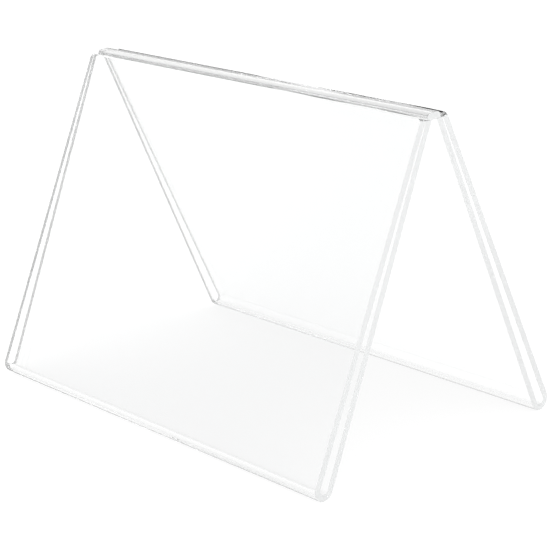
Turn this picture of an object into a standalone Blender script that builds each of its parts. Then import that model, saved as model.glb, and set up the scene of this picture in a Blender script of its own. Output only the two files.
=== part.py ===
"""Clear acrylic A-frame sneeze guard: two folded, double-walled panels and the bar that joins them.

Each panel is one flat sheet, heat-bent back on itself along its bottom edge. Its inner wall runs up to
the ridge bar, its outer wall stops just short of the ridge, and the slot between the two walls takes a
menu card from above. The guard stands on the two bends.

Frame: X along the ridge, Y from front (-) to rear (+), Z up. The origin is on the counter, in the
middle of the footprint. Units are metres.
"""
import math

import bmesh
import bpy

# Driving dimensions
WIDTH = 0.457            # along the ridge
HEIGHT = 0.310           # counter to the top of the ridge bar
SHEET = 0.00635          # quarter-inch acrylic
LEAN = math.radians(23)  # inner walls from the vertical
POCKET_FOOT = 0.0086     # clear width of the pocket at the bend
POCKET_MOUTH = 0.0005    # clear width of the pocket at its open top
APEX_GAP = 0.0059        # between the two inner walls, just under the ridge bar
MOUTH_DROP = 0.0025      # outer walls' top edges, below the top of the ridge bar
BAR_WIDTH = 0.0156       # ridge bar, front to back
BAR_ROUND = 0.0040       # radius of its two upper edges
CORNER_RADIUS = 0.005    # free top corners of the outer walls
JOINT_FILM = 0.0003      # cement line between a panel and the ridge bar
REST_ARC = math.radians(10)  # the bottom of each bend, this much of its turn, is flat on the counter
SAME_PLACE = 1e-6        # points closer than this are one point

BEND_STEPS = 9           # facets in each half of a bend
CORNER_STEPS = 6
BAR_STEPS = 6

BEND_MID_RADIUS = (POCKET_FOOT + SHEET) / 2
BEND_OUTER_RADIUS = BEND_MID_RADIUS + SHEET / 2
BEND_HEIGHT = BEND_MID_RADIUS * math.cos(REST_ARC / 2) + SHEET / 2
INNER_TOP = HEIGHT - SHEET - JOINT_FILM

ACRYLIC = (0.93, 0.96, 0.96)
IOR = 1.49


def clear_scene():
    for obj in list(bpy.data.objects):
        bpy.data.objects.remove(obj, do_unlink=True)


def make_collection(name):
    collection = bpy.data.collections.new(name)
    bpy.context.scene.collection.children.link(collection)
    return collection


def acrylic(name):
    """Clear polished acrylic."""
    material = bpy.data.materials.new(name)
    material.use_nodes = True
    shader = material.node_tree.nodes["Principled BSDF"]
    shader.inputs["Base Color"].default_value = (*ACRYLIC, 1)
    shader.inputs["Roughness"].default_value = 0.02
    shader.inputs["Metallic"].default_value = 0
    shader.inputs["IOR"].default_value = IOR
    shader.inputs["Transmission Weight"].default_value = 1
    return material


def make_object(name, mesh, collection, material):
    obj = bpy.data.objects.new(name, mesh)
    collection.objects.link(obj)
    obj.data.materials.append(material)
    return obj


def arc(centre, radius, start, end, steps):
    """Points on a circle in the YZ plane, from angle start to angle end, both included."""
    angles = [start + (end - start) * i / steps for i in range(steps + 1)]
    return [(centre[0] + radius * math.cos(a), centre[1] + radius * math.sin(a)) for a in angles]


def inner_wall_run():
    """Length of an inner wall's straight part, from the bend to its top edge."""
    rise = INNER_TOP + BEND_OUTER_RADIUS * math.sin(LEAN) - BEND_HEIGHT
    return rise / math.cos(LEAN)


def bend_centre():
    """Y and Z of the front panel's bend, from the line of its inner wall."""
    run = inner_wall_run()
    y = APEX_GAP / 2 + run * math.sin(LEAN) + BEND_OUTER_RADIUS * math.cos(LEAN)
    return -y, BEND_HEIGHT


def outer_wall_lean():
    """The outer wall leans more than the inner one, so the pocket narrows towards its mouth."""
    closing = math.asin((POCKET_FOOT - POCKET_MOUTH) / inner_wall_run())
    return LEAN + closing


def front_fold():
    """Middle line of the folded sheet of the front panel: down the outer wall, round, up the inner."""
    centre = bend_centre()
    outer_lean = outer_wall_lean()
    down = 1.5 * math.pi
    outer = arc(centre, BEND_MID_RADIUS, math.pi - outer_lean, down - REST_ARC / 2, BEND_STEPS)
    inner = arc(centre, BEND_MID_RADIUS, down + REST_ARC / 2, 2 * math.pi - LEAN, BEND_STEPS)
    outer_top = HEIGHT - MOUTH_DROP - SHEET / 2 * math.sin(outer_lean)
    outer_run = (outer_top - outer[0][1]) / math.cos(outer_lean)
    inner_run = inner_wall_run() + SHEET    # trimmed level afterwards
    mouth = (outer[0][0] + outer_run * math.sin(outer_lean), outer_top)
    apex = (inner[-1][0] + inner_run * math.sin(LEAN), inner[-1][1] + inner_run * math.cos(LEAN))
    return [mouth] + outer + inner + [apex]


def fold_surface(name, line):
    """The line swept along X as an open surface, with the two mouth corners rounded."""
    bm = bmesh.new()
    for y, z in line:
        bm.verts.new((-WIDTH / 2, y, z))
    bm.verts.ensure_lookup_table()
    for first, second in zip(bm.verts[:-1], bm.verts[1:]):
        bm.edges.new((first, second))
    swept = bmesh.ops.extrude_edge_only(bm, edges=bm.edges[:])["geom"]
    new_verts = [item for item in swept if isinstance(item, bmesh.types.BMVert)]
    bmesh.ops.translate(bm, verts=new_verts, vec=(WIDTH, 0, 0))
    mouth_y, mouth_z = line[0]
    corners = [vert for vert in bm.verts
               if math.hypot(vert.co.y - mouth_y, vert.co.z - mouth_z) < SAME_PLACE]
    bmesh.ops.bevel(bm, geom=corners, offset=CORNER_RADIUS, offset_type="OFFSET",
                    segments=CORNER_STEPS, profile=0.5, affect="VERTICES")
    bmesh.ops.recalc_face_normals(bm, faces=bm.faces[:])
    mesh = bpy.data.meshes.new(name)
    bm.to_mesh(mesh)
    bm.free()
    return mesh


def box(name, size, centre, collection):
    bpy.ops.mesh.primitive_cube_add(size=1, location=centre)
    obj = bpy.context.active_object
    obj.name = obj.data.name = name
    obj.scale = size
    bpy.ops.object.transform_apply(location=False, rotation=False, scale=True)
    for owner in list(obj.users_collection):
        owner.objects.unlink(obj)
    collection.objects.link(obj)
    return obj


def trim_block(collection):
    """Cutter above the inner walls, which trims both level to seat the ridge bar."""
    size = (WIDTH * 1.2, BAR_WIDTH + SHEET, SHEET * 2)
    block = box("trim_block", size, (0, 0, INNER_TOP + SHEET), collection)
    block.hide_render = True
    block.display_type = "WIRE"
    return block


def folded_panel(name, side, collection, cutter):
    """One panel. side is -1 for the front and +1 for the rear, which is the front one turned round."""
    line = front_fold()
    obj = make_object(name, fold_surface(name, line), collection, acrylic(name))
    obj.rotation_euler.z = 0 if side < 0 else math.pi
    thickness = obj.modifiers.new("thickness", "SOLIDIFY")
    thickness.thickness = SHEET
    thickness.offset = 0
    thickness.use_even_offset = True
    thickness.use_quality_normals = True
    trim = obj.modifiers.new("level_top", "BOOLEAN")
    trim.operation = "DIFFERENCE"
    trim.solver = "EXACT"
    trim.object = cutter
    return obj


def ridge_bar(name, collection):
    """A strip of the same sheet across the two inner walls, its two upper edges rounded over."""
    bar = box(name, (WIDTH, BAR_WIDTH, SHEET), (0, 0, HEIGHT - SHEET / 2), collection)
    bar.data.materials.append(acrylic(name))
    mesh = bar.data
    weights = mesh.attributes.new("bevel_weight_edge", "FLOAT", "EDGE")
    for edge in mesh.edges:
        start, end = (mesh.vertices[index].co for index in edge.vertices)
        is_long = abs(start.x - end.x) > WIDTH / 2
        is_upper = min(start.z, end.z) > 0
        weights.data[edge.index].value = 1.0 if is_long and is_upper else 0.0
    rounding = bar.modifiers.new("rounded_edges", "BEVEL")
    rounding.limit_method = "WEIGHT"
    rounding.width = BAR_ROUND
    rounding.segments = BAR_STEPS
    return bar


def main():
    clear_scene()
    guard = make_collection("sneeze_guard")
    cutter = trim_block(make_collection("cutters"))
    folded_panel("front_panel", -1, guard, cutter)
    folded_panel("rear_panel", 1, guard, cutter)
    ridge_bar("ridge_bar", guard)


main()
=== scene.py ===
"""Looks of the clear acrylic A-frame guard: fine surfaces, acrylic, studio and camera.

The two folded panels and the ridge bar are rebuilt here with smooth bends and polished edges, to the
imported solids' measures. Units are metres; X runs along the ridge, Y from front to rear, Z is up.
"""
import math

import bmesh
import bpy
from mathutils import Matrix, Vector


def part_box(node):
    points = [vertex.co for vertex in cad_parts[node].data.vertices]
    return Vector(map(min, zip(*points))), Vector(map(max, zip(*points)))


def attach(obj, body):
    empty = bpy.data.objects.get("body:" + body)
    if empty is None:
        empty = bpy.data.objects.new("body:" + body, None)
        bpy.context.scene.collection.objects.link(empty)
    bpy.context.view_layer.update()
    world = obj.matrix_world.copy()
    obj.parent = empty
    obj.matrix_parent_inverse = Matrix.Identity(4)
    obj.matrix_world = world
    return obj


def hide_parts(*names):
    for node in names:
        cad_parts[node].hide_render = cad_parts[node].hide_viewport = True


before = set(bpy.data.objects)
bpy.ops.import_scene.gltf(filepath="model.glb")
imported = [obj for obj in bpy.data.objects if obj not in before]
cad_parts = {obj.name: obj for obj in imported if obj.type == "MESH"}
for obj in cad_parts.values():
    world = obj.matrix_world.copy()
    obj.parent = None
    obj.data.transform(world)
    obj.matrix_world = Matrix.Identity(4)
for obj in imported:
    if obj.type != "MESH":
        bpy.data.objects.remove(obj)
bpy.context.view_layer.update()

# ---------------------------------------------------------------- the object's measures, from the frame
BAR_LOW, BAR_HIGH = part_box("ridge_bar")
PANEL_LOW, PANEL_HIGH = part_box("front_panel")
WIDTH = PANEL_HIGH[0] - PANEL_LOW[0]
SHEET = BAR_HIGH[2] - BAR_LOW[2]         # the bar is a strip of the same sheet
BAR_WIDTH = BAR_HIGH[1] - BAR_LOW[1]
OUTER_TOP = PANEL_HIGH[2]                # the outer walls end a little below the bar's top

LEAN = math.radians(23)      # inner walls from the vertical
POCKET_FOOT = 0.0086         # clear width of the pocket at the bend
POCKET_MOUTH = 0.0005        # and at its open top
APEX_GAP = 0.0059            # between the two inner walls, just under the bar
CEMENTED = 0.00005           # the inner walls run this far into the bar, so no gap shows there
REST_ARC = math.radians(10)  # the bottom of each bend, this much of its turn, is flat on the counter
CORNER_RADIUS = 0.005        # free top corners of the outer walls
BAR_ROUND = 0.004            # the bar's two upper edges
ARRIS = 0.00045              # polished-off edge of the cut sheet

BEND_STEPS = 40              # facets in each half of a bend
CORNER_STEPS = 14
BAR_STEPS = 14
ARRIS_STEPS = 3
SAME_PLACE = 1e-6            # points closer than this are one point
SHARP = math.radians(40)     # edges that turn more than this get an arris

BEND_MID_RADIUS = (POCKET_FOOT + SHEET) / 2
BEND_OUTER_RADIUS = BEND_MID_RADIUS + SHEET / 2
BEND_HEIGHT = BEND_MID_RADIUS * math.cos(REST_ARC / 2) + SHEET / 2
INNER_TOP = BAR_LOW[2] + CEMENTED


# ---------------------------------------------------------------- materials
SANDED_OUTSIDE = (0.92, 0.93, 0.93)
# painted shade: the sanded ends are drawn in this darker grey where they are seen from inside the sheet
SANDED_PAINTED_SHADE_INSIDE = (0.46, 0.47, 0.47)
SANDED_MATTE_OUTSIDE = 0.72  # share of the light that scatters instead of passing
ACRYLIC_IOR = 1.49


class Nodes:
    """Short names for building one material's node tree."""

    def __init__(self, name):
        self.material = bpy.data.materials.new(name)
        self.material.use_nodes = True
        self.tree = self.material.node_tree
        self.tree.nodes.clear()

    def add(self, kind, inputs=None, **settings):
        node = self.tree.nodes.new(kind)
        for key, value in settings.items():
            setattr(node, key, value)
        for key, value in (inputs or {}).items():
            if isinstance(value, bpy.types.NodeSocket):
                self.tree.links.new(value, node.inputs[key])
            else:
                node.inputs[key].default_value = value
        return node

    def ramp(self, factor, low, high, from_low=0.0, from_high=1.0):
        """factor between from_low and from_high becomes a number between low and high."""
        return self.add("ShaderNodeMapRange", {"Value": factor, "From Min": from_low, "From Max": from_high,
                                               "To Min": low, "To Max": high}).outputs["Result"]


def cut_edge_mask(nodes):
    """1 on the sanded ends of the sheet, 0 on the moulded faces and the polished top rims."""
    normal = nodes.add("ShaderNodeTexCoord").outputs["Normal"]
    facing = nodes.add("ShaderNodeSeparateXYZ", {0: normal}).outputs["X"]
    sideways = nodes.add("ShaderNodeMath", {0: facing}, operation="ABSOLUTE").outputs[0]
    return nodes.ramp(sideways, 0.0, 1.0, 0.5, 0.9)


def clear_acrylic(name, face_tint, matte_inside):
    """Clear cast acrylic. The faces are polished, with a trace of haze and waviness. The cut edges are
    finely sanded: pale from outside, where they catch the light. Seen through the sheet they are painted
    a darker grey, which is painted shade, with matte_inside as their matte share from that side.
    """
    nodes = Nodes(name)
    mask = cut_edge_mask(nodes)
    place = nodes.add("ShaderNodeTexCoord").outputs["Object"]

    haze = nodes.add("ShaderNodeTexNoise", {"Vector": place, "Scale": 14.0, "Detail": 5.0,
                                            "Roughness": 0.6}).outputs["Fac"]
    face_roughness = nodes.ramp(haze, 0.0, 0.006, 0.45, 0.8)
    edge_roughness = nodes.ramp(haze, 0.18, 0.30, 0.3, 0.7)
    roughness = nodes.add("ShaderNodeMix", {"Factor": mask, "A": face_roughness, "B": edge_roughness},
                          data_type="FLOAT").outputs["Result"]
    # Painted shade: seen from inside the sheet, the sanded ends get a darker grey and a smaller matte
    # share.
    from_inside = nodes.add("ShaderNodeNewGeometry").outputs["Backfacing"]
    matte = nodes.ramp(from_inside, SANDED_MATTE_OUTSIDE, matte_inside)
    matte_edge = nodes.add("ShaderNodeMath", {0: matte, 1: mask}, operation="MULTIPLY").outputs[0]
    clearness = nodes.ramp(matte_edge, 1.0, 0.0)
    sanded = nodes.add("ShaderNodeMixRGB", {"Fac": from_inside, "Color1": (*SANDED_OUTSIDE, 1),
                                            "Color2": (*SANDED_PAINTED_SHADE_INSIDE, 1)}).outputs["Color"]
    colour = nodes.add("ShaderNodeMixRGB", {"Fac": mask, "Color1": (*face_tint, 1), "Color2": sanded})

    waves = nodes.add("ShaderNodeTexNoise", {"Vector": place, "Scale": 9.0, "Detail": 1.0}).outputs["Fac"]
    wavy = nodes.add("ShaderNodeBump", {"Height": waves, "Strength": 0.02, "Distance": 0.002})
    stretched = nodes.add("ShaderNodeMapping", {"Vector": place, "Scale": (60.0, 900.0, 900.0)})
    lines = nodes.add("ShaderNodeTexNoise", {"Vector": stretched.outputs["Vector"], "Scale": 2.0,
                                             "Detail": 3.0}).outputs["Fac"]
    cut_lines = nodes.add("ShaderNodeMath", {0: lines, 1: mask}, operation="MULTIPLY").outputs[0]
    bump = nodes.add("ShaderNodeBump", {"Height": cut_lines, "Strength": 0.1, "Distance": 0.0002,
                                        "Normal": wavy.outputs["Normal"]})

    shader = nodes.add("ShaderNodeBsdfPrincipled", {
        "Base Color": colour.outputs["Color"], "Roughness": roughness, "IOR": ACRYLIC_IOR,
        "Transmission Weight": clearness, "Normal": bump.outputs["Normal"]})
    passing = nodes.add("ShaderNodeBsdfTransparent", {"Color": (0.998, 0.998, 0.998, 1)})
    is_shadow = nodes.add("ShaderNodeLightPath").outputs["Is Shadow Ray"]
    mixed = nodes.add("ShaderNodeMixShader", {0: is_shadow, 1: shader.outputs["BSDF"],
                                              2: passing.outputs["BSDF"]})
    nodes.add("ShaderNodeOutputMaterial", {"Surface": mixed.outputs["Shader"]})
    return nodes.material


PANEL_ACRYLIC = clear_acrylic("panel_acrylic", (0.976, 0.978, 0.978), matte_inside=0.4)
BAR_ACRYLIC = clear_acrylic("bar_acrylic", (0.985, 0.988, 0.988), matte_inside=0.05)


# ---------------------------------------------------------------- meshes
def add_object(name, mesh, material):
    obj = bpy.data.objects.new(name, mesh)
    bpy.context.scene.collection.objects.link(obj)
    mesh.materials.append(material)
    return obj


def arc(centre, radius, start, end, steps):
    """Points on a circle in the YZ plane, from angle start to angle end, both included."""
    angles = [start + (end - start) * i / steps for i in range(steps + 1)]
    return [(centre[0] + radius * math.cos(a), centre[1] + radius * math.sin(a)) for a in angles]


def front_fold():
    """Middle line of the front panel's folded sheet: down the outer wall, round, up the inner."""
    run = (INNER_TOP + BEND_OUTER_RADIUS * math.sin(LEAN) - BEND_HEIGHT) / math.cos(LEAN)
    centre_y = -(APEX_GAP / 2 + run * math.sin(LEAN) + BEND_OUTER_RADIUS * math.cos(LEAN))
    centre = (centre_y, BEND_HEIGHT)
    outer_lean = LEAN + math.asin((POCKET_FOOT - POCKET_MOUTH) / run)
    down = 1.5 * math.pi
    outer = arc(centre, BEND_MID_RADIUS, math.pi - outer_lean, down - REST_ARC / 2, BEND_STEPS)
    inner = arc(centre, BEND_MID_RADIUS, down + REST_ARC / 2, 2 * math.pi - LEAN, BEND_STEPS)
    mouth_z = OUTER_TOP - SHEET / 2 * math.sin(outer_lean)
    outer_run = (mouth_z - outer[0][1]) / math.cos(outer_lean)
    mouth = (outer[0][0] + outer_run * math.sin(outer_lean), mouth_z)
    apex = (inner[-1][0] + (INNER_TOP - inner[-1][1]) * math.tan(LEAN), INNER_TOP)
    return [mouth] + outer + inner + [apex]


def fold_mesh(name):
    """The folded sheet as an open surface with rounded mouth corners; folded_panel gives it thickness and a
    level top.
    """
    line = front_fold()
    bm = bmesh.new()
    verts = [bm.verts.new((-WIDTH / 2, y, z)) for y, z in line]
    for first, second in zip(verts[:-1], verts[1:]):
        bm.edges.new((first, second))
    swept = bmesh.ops.extrude_edge_only(bm, edges=bm.edges[:])["geom"]
    bmesh.ops.translate(bm, vec=(WIDTH, 0, 0),
                        verts=[item for item in swept if isinstance(item, bmesh.types.BMVert)])
    mouth = Vector((0, *line[0]))
    corners = [vert for vert in bm.verts
               if (Vector((0, vert.co.y, vert.co.z)) - mouth).length < SAME_PLACE]
    bmesh.ops.bevel(bm, geom=corners, offset=CORNER_RADIUS, offset_type="OFFSET", segments=CORNER_STEPS,
                    profile=0.5, affect="VERTICES")
    bmesh.ops.recalc_face_normals(bm, faces=bm.faces[:])
    mesh = bpy.data.meshes.new(name)
    bm.to_mesh(mesh)
    bm.free()
    return mesh


def evaluated_mesh(obj):
    """The object's mesh with its modifiers applied."""
    graph = bpy.context.evaluated_depsgraph_get()
    return bpy.data.meshes.new_from_object(obj.evaluated_get(graph))


def level_top(mesh):
    """Slides the rim of the inner wall along the wall until it is level under the bar."""
    along = Vector((0, math.sin(LEAN), math.cos(LEAN)))
    behind_outer_wall = -(APEX_GAP / 2 + SHEET * 1.5)
    for vert in mesh.vertices:
        if vert.co.z > INNER_TOP - SHEET and vert.co.y > behind_outer_wall:
            vert.co += along * ((INNER_TOP - vert.co.z) / along.z)


def polish(obj):
    """Takes the sharp edges off and shades the rest smooth."""
    bevel = obj.modifiers.new("arris", "BEVEL")
    bevel.limit_method = "ANGLE"
    bevel.angle_limit = SHARP
    bevel.width = ARRIS
    bevel.segments = ARRIS_STEPS
    bevel.use_clamp_overlap = True
    obj.data = evaluated_mesh(obj)
    obj.modifiers.clear()
    obj.data.shade_smooth()
    flat = obj.modifiers.new("flat_faces_stay_flat", "WEIGHTED_NORMAL")
    flat.mode = "FACE_AREA"
    flat.weight = 100
    flat.keep_sharp = True
    obj.data = evaluated_mesh(obj)
    obj.modifiers.clear()


def folded_panel(name, turn, node):
    obj = add_object(name, fold_mesh(name), PANEL_ACRYLIC)
    thickness = obj.modifiers.new("thickness", "SOLIDIFY")
    thickness.thickness = SHEET
    thickness.offset = 0
    thickness.use_even_offset = True
    thickness.use_quality_normals = True
    obj.data = evaluated_mesh(obj)
    obj.modifiers.clear()
    level_top(obj.data)
    polish(obj)
    obj.data.transform(Matrix.Rotation(turn, 4, "Z"))
    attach(obj, "root")
    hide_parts(node)


def ridge_bar(name, node):
    """The strip over the two inner walls, its upper edges rounded over and its ends cut square."""
    half = BAR_WIDTH / 2
    low, high = BAR_LOW[2], BAR_HIGH[2]
    rear = arc((half - BAR_ROUND, high - BAR_ROUND), BAR_ROUND, 0, math.pi / 2, BAR_STEPS)
    front = [(-y, z) for y, z in reversed(rear)]
    outline = [(-half, low), (half, low)] + rear + front
    bm = bmesh.new()
    end = bm.faces.new([bm.verts.new((-WIDTH / 2, y, z)) for y, z in outline])
    swept = bmesh.ops.extrude_face_region(bm, geom=[end])["geom"]
    bmesh.ops.translate(bm, vec=(WIDTH, 0, 0),
                        verts=[item for item in swept if isinstance(item, bmesh.types.BMVert)])
    bmesh.ops.recalc_face_normals(bm, faces=bm.faces[:])
    mesh = bpy.data.meshes.new(name)
    bm.to_mesh(mesh)
    bm.free()
    obj = add_object(name, mesh, BAR_ACRYLIC)
    polish(obj)
    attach(obj, "root")
    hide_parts(node)


folded_panel("front_panel_sheet", 0, "front_panel")
folded_panel("rear_panel_sheet", math.pi, "rear_panel")
ridge_bar("ridge_bar_strip", "ridge_bar")


# ---------------------------------------------------------------- studio
def white_floor(size, drop, reflecting, glow):
    """A light table: white paper lit from above and, by its glow, from below."""
    bpy.ops.mesh.primitive_plane_add(size=size, location=(0, 0, -drop))
    floor = bpy.context.active_object
    floor.name = "studio_floor"
    nodes = Nodes("studio_white")
    paper = nodes.add("ShaderNodeBsdfDiffuse", {"Color": (reflecting, reflecting, reflecting, 1)})
    lamp = nodes.add("ShaderNodeEmission", {"Color": (1, 1, 1, 1), "Strength": glow})
    lit = nodes.add("ShaderNodeAddShader", {0: paper.outputs["BSDF"], 1: lamp.outputs["Emission"]})
    nodes.add("ShaderNodeOutputMaterial", {"Surface": lit.outputs["Shader"]})
    floor.data.materials.append(nodes.material)


def studio_world(band, ceiling, rise_low, rise_high):
    """White all round at eye level, darker overhead: the ceiling above a photographer's white tent.
    The change runs between the heights rise_low and rise_high of the view direction, 0 level to 1 up.
    """
    world = bpy.data.worlds.new("studio_world")
    bpy.context.scene.world = world
    world.use_nodes = True
    tree = world.node_tree
    tree.nodes.clear()
    coordinate = tree.nodes.new("ShaderNodeTexCoord")
    split = tree.nodes.new("ShaderNodeSeparateXYZ")
    height = tree.nodes.new("ShaderNodeMapRange")
    height.interpolation_type = "SMOOTHSTEP"
    height.inputs["From Min"].default_value = rise_low
    height.inputs["From Max"].default_value = rise_high
    height.inputs["To Min"].default_value = band
    height.inputs["To Max"].default_value = ceiling
    background = tree.nodes.new("ShaderNodeBackground")
    background.inputs["Color"].default_value = (1, 1, 1, 1)
    output = tree.nodes.new("ShaderNodeOutputWorld")
    tree.links.new(coordinate.outputs["Generated"], split.inputs["Vector"])
    tree.links.new(split.outputs["Z"], height.inputs["Value"])
    tree.links.new(height.outputs["Result"], background.inputs["Strength"])
    tree.links.new(background.outputs["Background"], output.inputs["Surface"])


def soft_sun(name, azimuth, elevation, strength, spread):
    light = bpy.data.lights.new(name, "SUN")
    light.energy = strength
    light.angle = math.radians(spread)
    light.cycles.use_multiple_importance_sampling = False
    obj = bpy.data.objects.new(name, light)
    bpy.context.scene.collection.objects.link(obj)
    obj.rotation_euler = (math.radians(90 - elevation), 0, math.radians(azimuth))


def camera(azimuth, elevation, roll, distance, aim, lens, sensor):
    """Azimuth 0 looks along +Y; roll turns the view about its own axis. Angles are in degrees."""
    data = bpy.data.cameras.new("camera")
    data.sensor_width = sensor
    data.lens = lens
    obj = bpy.data.objects.new("camera", data)
    bpy.context.scene.collection.objects.link(obj)
    turn = (Matrix.Rotation(math.radians(azimuth), 4, "Z")
            @ Matrix.Rotation(math.radians(90 - elevation), 4, "X")
            @ Matrix.Rotation(math.radians(roll), 4, "Z"))
    obj.matrix_world = Matrix.Translation(aim) @ turn @ Matrix.Translation((0, 0, distance))
    bpy.context.scene.camera = obj


white_floor(size=14, drop=0.0002, reflecting=0.34, glow=0.69)
studio_world(band=1.02, ceiling=0.42, rise_low=0.35, rise_high=0.8)
soft_sun("overhead_softbox", azimuth=20, elevation=75, strength=2.3, spread=40)
camera(azimuth=48.544, elevation=17.853, roll=-2.206, distance=1.7143,
       aim=Vector((0.0506, -0.0274, 0.1349)), lens=121.3, sensor=36)
bpy.context.scene.view_settings.view_transform = "Standard"


def let_light_run_along_the_sheet(bounces):
    """Light that enters an end of a sheet is mirrored dozens of times between its faces on the way."""
    cycles = bpy.context.scene.cycles
    cycles.caustics_reflective = False    # lamps already pass the sheets as shadow rays
    cycles.caustics_refractive = False
    cycles.max_bounces = bounces
    cycles.glossy_bounces = bounces
    cycles.transmission_bounces = bounces


let_light_run_along_the_sheet(72)
